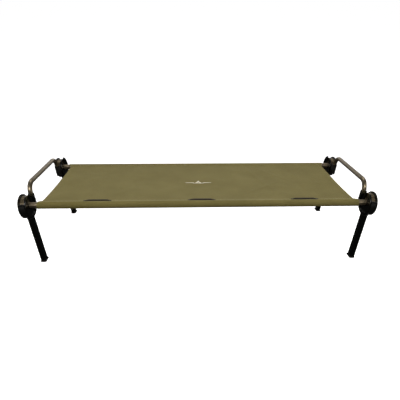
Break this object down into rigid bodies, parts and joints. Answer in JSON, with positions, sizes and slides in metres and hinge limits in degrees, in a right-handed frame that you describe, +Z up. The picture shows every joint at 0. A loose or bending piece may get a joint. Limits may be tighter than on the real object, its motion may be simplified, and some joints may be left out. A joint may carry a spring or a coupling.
{
  "type": "camp cot",
  "caption": "Knock-down camp cot: a cloth deck on two sleeve rails, held by round pocket joints on two leaning end frames with grab bars and legs.",
  "frame": {"origin": "on the floor, under the middle of the bed", "axes": "+X to the foot end, +Y to the sleeper's left, +Z up"},
  "size_m": [2.0614, 0.82, 0.4804],
  "materials": {
    "deck_cloth": "olive woven polyester, matt",
    "webbing": "dark brown flat webbing",
    "tube_coat": "dark bronze-grey metallic coat, satin",
    "black_steel": "black powder coat, fine texture",
    "black_moulding": "black glass-filled nylon",
    "drum_moulding": "dark bronze moulding with metal flake, satin",
    "foot_rubber": "black rubber, matt",
    "plain_steel": "zinc-plated steel"
  },
  "bodies": {
    "bed": {"deck": "deck_cloth", "webbing_loops": "webbing", "left_rail_head_half": "tube_coat", "left_rail_foot_half": "tube_coat", "left_rail_ferrule": "plain_steel", "left_ferrule_rivet": "plain_steel", "left_snap_spring": "plain_steel", "head_left_rail_drum": "drum_moulding", "foot_left_rail_drum": "drum_moulding", "right_rail_head_half": "tube_coat", "right_rail_foot_half": "tube_coat", "right_rail_ferrule": "plain_steel", "right_ferrule_rivet": "plain_steel", "right_snap_spring": "plain_steel", "head_right_rail_drum": "drum_moulding", "foot_right_rail_drum": "drum_moulding"},
    "head_frame": {"head_end_bar": "tube_coat", "head_bar_pins": "black_steel", "head_left_inner_plate": "black_steel", "head_left_outer_plate": "black_steel", "head_left_pocket_block": "black_moulding", "head_left_plate_rivets": "black_steel", "head_right_inner_plate": "black_steel", "head_right_outer_plate": "black_steel", "head_right_pocket_block": "black_moulding", "head_right_plate_rivets": "black_steel"},
    "head_left_leg": {"head_left_leg": "black_steel", "head_left_foot_plug": "foot_rubber"},
    "head_right_leg": {"head_right_leg": "black_steel", "head_right_foot_plug": "foot_rubber"},
    "foot_frame": {"foot_end_bar": "tube_coat", "foot_bar_pins": "black_steel", "foot_left_inner_plate": "black_steel", "foot_left_outer_plate": "black_steel", "foot_left_pocket_block": "black_moulding", "foot_left_plate_rivets": "black_steel", "foot_right_inner_plate": "black_steel", "foot_right_outer_plate": "black_steel", "foot_right_pocket_block": "black_moulding", "foot_right_plate_rivets": "black_steel"},
    "foot_left_leg": {"foot_left_leg": "black_steel", "foot_left_foot_plug": "foot_rubber"},
    "foot_right_leg": {"foot_right_leg": "black_steel", "foot_right_foot_plug": "foot_rubber"},
    "left_snap_button": {"left_snap_button": "plain_steel"},
    "right_snap_button": {"right_snap_button": "plain_steel"}
  },
  "joints": [
    {"name": "head_frame_lift_off", "type": "slide", "parent": "bed", "child": "head_frame", "axis": [0.1097, 0, -0.994], "range_m": [0, 0.15]},
    {"name": "head_left_leg_pull_out", "type": "slide", "parent": "head_frame", "child": "head_left_leg", "axis": [0.1097, 0, -0.994], "range_m": [0, 0.07]},
    {"name": "head_right_leg_pull_out", "type": "slide", "parent": "head_frame", "child": "head_right_leg", "axis": [0.1097, 0, -0.994], "range_m": [0, 0.07]},
    {"name": "foot_frame_lift_off", "type": "slide", "parent": "bed", "child": "foot_frame", "axis": [-0.1097, 0, -0.994], "range_m": [0, 0.15]},
    {"name": "foot_left_leg_pull_out", "type": "slide", "parent": "foot_frame", "child": "foot_left_leg", "axis": [-0.1097, 0, -0.994], "range_m": [0, 0.07]},
    {"name": "foot_right_leg_pull_out", "type": "slide", "parent": "foot_frame", "child": "foot_right_leg", "axis": [-0.1097, 0, -0.994], "range_m": [0, 0.07]},
    {"name": "left_snap_press", "type": "slide", "parent": "bed", "child": "left_snap_button", "axis": [0, 0, 1], "range_m": [0, 0.003], "stiffness_N_per_m": 1500, "springref_m": -0.002, "deforming": ["left_snap_spring"]},
    {"name": "right_snap_press", "type": "slide", "parent": "bed", "child": "right_snap_button", "axis": [0, 0, 1], "range_m": [0, 0.003], "stiffness_N_per_m": 1500, "springref_m": -0.002, "deforming": ["right_snap_spring"]}
  ]
}
